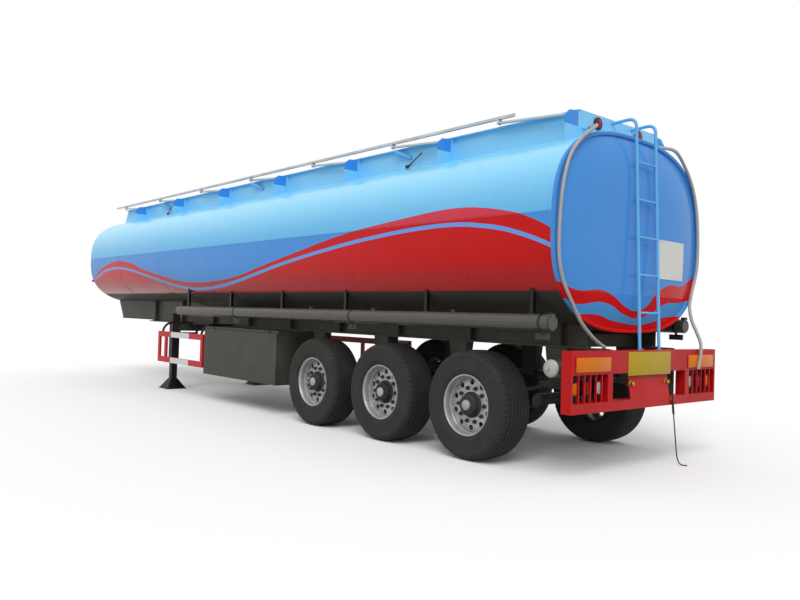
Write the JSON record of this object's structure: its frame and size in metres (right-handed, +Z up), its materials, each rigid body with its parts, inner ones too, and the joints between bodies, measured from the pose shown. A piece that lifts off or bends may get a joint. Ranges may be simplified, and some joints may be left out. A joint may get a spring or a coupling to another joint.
{
  "type": "tanker semi-trailer",
  "caption": "Tank semi-trailer on wide single wheels, parked on its landing legs, with hinged manhole lids, fold-down handrails, side cabinet, hose tubes and a coupling pin.",
  "frame": {"origin": "on the ground, on the centre line, half-way between the bumper's rear face and the tank's front end", "axes": "+X forward towards the coupling pin, +Y to the trailer's left, +Z up"},
  "size_m": [12.2103, 2.534, 3.4667],
  "materials": {
    "shell_paint": "gloss",
    "frame_paint": "satin",
    "red_paint": "satin",
    "tyre_rubber": "matte",
    "rim_silver": "satin",
    "rail_steel": "satin",
    "hose_rubber": "matte",
    "black_steel": "satin"
  },
  "bodies": {
    "trailer": {"tank_shell": "shell_paint", "spill_dam": "shell_paint", "ladder": "shell_paint", "rear_bumper": "red_paint", "rear_lamps_left": "red_paint", "rear_lamps_right": "red_paint", "chassis_frame": "frame_paint", "coupler_plate": "frame_paint", "axle_1": "frame_paint", "axle_2": "frame_paint", "axle_3": "frame_paint", "suspension_left": "frame_paint", "landing_leg_left": "black_steel", "side_guard_left": "red_paint", "hose_tube_left": "frame_paint", "drain_hose_left": "hose_rubber", "suspension_right": "frame_paint", "landing_leg_right": "black_steel", "side_guard_right": "red_paint", "hose_tube_right": "frame_paint", "drain_hose_right": "hose_rubber", "cabinet_body": "frame_paint", "earthing_strap": "black_steel"},
    "wheel_1_left": {"tyre_1_left": "tyre_rubber", "rim_1_left": "rim_silver"},
    "wheel_1_right": {"tyre_1_right": "tyre_rubber", "rim_1_right": "rim_silver"},
    "wheel_2_left": {"tyre_2_left": "tyre_rubber", "rim_2_left": "rim_silver"},
    "wheel_2_right": {"tyre_2_right": "tyre_rubber", "rim_2_right": "rim_silver"},
    "wheel_3_left": {"tyre_3_left": "tyre_rubber", "rim_3_left": "rim_silver"},
    "wheel_3_right": {"tyre_3_right": "tyre_rubber", "rim_3_right": "rim_silver"},
    "lid_1": {"manhole_lid_1": "shell_paint"},
    "lid_2": {"manhole_lid_2": "shell_paint"},
    "lid_3": {"manhole_lid_3": "shell_paint"},
    "lid_4": {"manhole_lid_4": "shell_paint"},
    "lid_5": {"manhole_lid_5": "shell_paint"},
    "post_left_1": {"rail_post_left_1": "rail_steel"},
    "post_left_2": {"rail_post_left_2": "rail_steel"},
    "post_left_3": {"rail_post_left_3": "rail_steel"},
    "post_left_4": {"rail_post_left_4": "rail_steel"},
    "post_left_5": {"rail_post_left_5": "rail_steel"},
    "post_left_6": {"rail_post_left_6": "rail_steel"},
    "post_left_7": {"rail_post_left_7": "rail_steel"},
    "rail_left": {"handrail_left": "rail_steel"},
    "post_right_1": {"rail_post_right_1": "rail_steel"},
    "post_right_2": {"rail_post_right_2": "rail_steel"},
    "post_right_3": {"rail_post_right_3": "rail_steel"},
    "post_right_4": {"rail_post_right_4": "rail_steel"},
    "post_right_5": {"rail_post_right_5": "rail_steel"},
    "post_right_6": {"rail_post_right_6": "rail_steel"},
    "post_right_7": {"rail_post_right_7": "rail_steel"},
    "rail_right": {"handrail_right": "rail_steel"},
    "cabinet_door": {"cabinet_door": "frame_paint"},
    "hose_cap_left": {"hose_tube_cap_left": "frame_paint"},
    "hose_cap_right": {"hose_tube_cap_right": "frame_paint"}
  },
  "joints": [
    {"name": "wheel_1_left_spin", "type": "hinge", "parent": "trailer", "child": "wheel_1_left", "pos_m": [-4.773, 1.026, 0.536], "axis": [0, 1, 0], "continuous": true},
    {"name": "wheel_1_right_spin", "type": "hinge", "parent": "trailer", "child": "wheel_1_right", "pos_m": [-4.773, -1.026, 0.536], "axis": [0, 1, 0], "continuous": true},
    {"name": "wheel_2_left_spin", "type": "hinge", "parent": "trailer", "child": "wheel_2_left", "pos_m": [-3.463, 1.026, 0.536], "axis": [0, 1, 0], "continuous": true},
    {"name": "wheel_2_right_spin", "type": "hinge", "parent": "trailer", "child": "wheel_2_right", "pos_m": [-3.463, -1.026, 0.536], "axis": [0, 1, 0], "continuous": true},
    {"name": "wheel_3_left_spin", "type": "hinge", "parent": "trailer", "child": "wheel_3_left", "pos_m": [-2.153, 1.026, 0.536], "axis": [0, 1, 0], "continuous": true},
    {"name": "wheel_3_right_spin", "type": "hinge", "parent": "trailer", "child": "wheel_3_right", "pos_m": [-2.153, -1.026, 0.536], "axis": [0, 1, 0], "continuous": true},
    {"name": "lid_1_hinge", "type": "hinge", "parent": "trailer", "child": "lid_1", "pos_m": [-4.76, 0, 3.232], "axis": [0, -1, 0], "range_deg": [0, 100]},
    {"name": "lid_2_hinge", "type": "hinge", "parent": "trailer", "child": "lid_2", "pos_m": [-2.56, 0, 3.232], "axis": [0, -1, 0], "range_deg": [0, 100]},
    {"name": "lid_3_hinge", "type": "hinge", "parent": "trailer", "child": "lid_3", "pos_m": [-0.36, 0, 3.232], "axis": [0, -1, 0], "range_deg": [0, 100]},
    {"name": "lid_4_hinge", "type": "hinge", "parent": "trailer", "child": "lid_4", "pos_m": [1.84, 0, 3.232], "axis": [0, -1, 0], "range_deg": [0, 100]},
    {"name": "lid_5_hinge", "type": "hinge", "parent": "trailer", "child": "lid_5", "pos_m": [4.04, 0, 3.232], "axis": [0, -1, 0], "range_deg": [0, 100]},
    {"name": "post_left_1_fold", "type": "hinge", "parent": "trailer", "child": "post_left_1", "pos_m": [-5.588, 0.7, 3.33], "axis": [0, -1, 0], "range_deg": [0, 85.8]},
    {"name": "post_left_2_fold", "type": "hinge", "parent": "trailer", "child": "post_left_2", "pos_m": [-3.899, 0.7, 3.33], "axis": [0, -1, 0], "range_deg": [0, 85.8]},
    {"name": "post_left_3_fold", "type": "hinge", "parent": "trailer", "child": "post_left_3", "pos_m": [-2.21, 0.7, 3.33], "axis": [0, -1, 0], "range_deg": [0, 85.8]},
    {"name": "post_left_4_fold", "type": "hinge", "parent": "trailer", "child": "post_left_4", "pos_m": [-0.521, 0.7, 3.33], "axis": [0, -1, 0], "range_deg": [0, 85.8]},
    {"name": "post_left_5_fold", "type": "hinge", "parent": "trailer", "child": "post_left_5", "pos_m": [1.168, 0.7, 3.33], "axis": [0, -1, 0], "range_deg": [0, 85.8]},
    {"name": "post_left_6_fold", "type": "hinge", "parent": "trailer", "child": "post_left_6", "pos_m": [2.857, 0.7, 3.33], "axis": [0, -1, 0], "range_deg": [0, 85.8]},
    {"name": "post_left_7_fold", "type": "hinge", "parent": "trailer", "child": "post_left_7", "pos_m": [4.546, 0.7, 3.33], "axis": [0, -1, 0], "range_deg": [0, 85.8]},
    {"name": "rail_left_level", "type": "hinge", "parent": "post_left_4", "child": "rail_left", "pos_m": [0.399, 0.7, 3.397], "axis": [0, -1, 0], "range_deg": [-85.8, 0]},
    {"name": "post_right_1_fold", "type": "hinge", "parent": "trailer", "child": "post_right_1", "pos_m": [-5.588, -0.7, 3.33], "axis": [0, -1, 0], "range_deg": [0, 85.8]},
    {"name": "post_right_2_fold", "type": "hinge", "parent": "trailer", "child": "post_right_2", "pos_m": [-3.899, -0.7, 3.33], "axis": [0, -1, 0], "range_deg": [0, 85.8]},
    {"name": "post_right_3_fold", "type": "hinge", "parent": "trailer", "child": "post_right_3", "pos_m": [-2.21, -0.7, 3.33], "axis": [0, -1, 0], "range_deg": [0, 85.8]},
    {"name": "post_right_4_fold", "type": "hinge", "parent": "trailer", "child": "post_right_4", "pos_m": [-0.521, -0.7, 3.33], "axis": [0, -1, 0], "range_deg": [0, 85.8]},
    {"name": "post_right_5_fold", "type": "hinge", "parent": "trailer", "child": "post_right_5", "pos_m": [1.168, -0.7, 3.33], "axis": [0, -1, 0], "range_deg": [0, 85.8]},
    {"name": "post_right_6_fold", "type": "hinge", "parent": "trailer", "child": "post_right_6", "pos_m": [2.857, -0.7, 3.33], "axis": [0, -1, 0], "range_deg": [0, 85.8]},
    {"name": "post_right_7_fold", "type": "hinge", "parent": "trailer", "child": "post_right_7", "pos_m": [4.546, -0.7, 3.33], "axis": [0, -1, 0], "range_deg": [0, 85.8]},
    {"name": "rail_right_level", "type": "hinge", "parent": "post_right_4", "child": "rail_right", "pos_m": [0.399, -0.7, 3.397], "axis": [0, -1, 0], "range_deg": [-85.8, 0]},
    {"name": "cabinet_door_hinge", "type": "hinge", "parent": "trailer", "child": "cabinet_door", "pos_m": [-1.303, 1.1897, 1.1097], "axis": [1, 0, 0], "range_deg": [0, 85]},
    {"name": "hose_cap_left_hinge", "type": "hinge", "parent": "trailer", "child": "hose_cap_left", "pos_m": [-5.7563, 1.15, 1.447], "axis": [0, 1, 0], "range_deg": [0, 110]},
    {"name": "hose_cap_right_hinge", "type": "hinge", "parent": "trailer", "child": "hose_cap_right", "pos_m": [-5.7563, -1.15, 1.447], "axis": [0, 1, 0], "range_deg": [0, 110]}
  ],
  "couplings": [
    {"joint": "post_left_1_fold", "follows": "post_left_4_fold", "ratio": 1},
    {"joint": "post_left_2_fold", "follows": "post_left_4_fold", "ratio": 1},
    {"joint": "post_left_3_fold", "follows": "post_left_4_fold", "ratio": 1},
    {"joint": "post_left_5_fold", "follows": "post_left_4_fold", "ratio": 1},
    {"joint": "post_left_6_fold", "follows": "post_left_4_fold", "ratio": 1},
    {"joint": "post_left_7_fold", "follows": "post_left_4_fold", "ratio": 1},
    {"joint": "rail_left_level", "follows": "post_left_4_fold", "ratio": -1},
    {"joint": "post_right_1_fold", "follows": "post_right_4_fold", "ratio": 1},
    {"joint": "post_right_2_fold", "follows": "post_right_4_fold", "ratio": 1},
    {"joint": "post_right_3_fold", "follows": "post_right_4_fold", "ratio": 1},
    {"joint": "post_right_5_fold", "follows": "post_right_4_fold", "ratio": 1},
    {"joint": "post_right_6_fold", "follows": "post_right_4_fold", "ratio": 1},
    {"joint": "post_right_7_fold", "follows": "post_right_4_fold", "ratio": 1},
    {"joint": "rail_right_level", "follows": "post_right_4_fold", "ratio": -1}
  ]
}
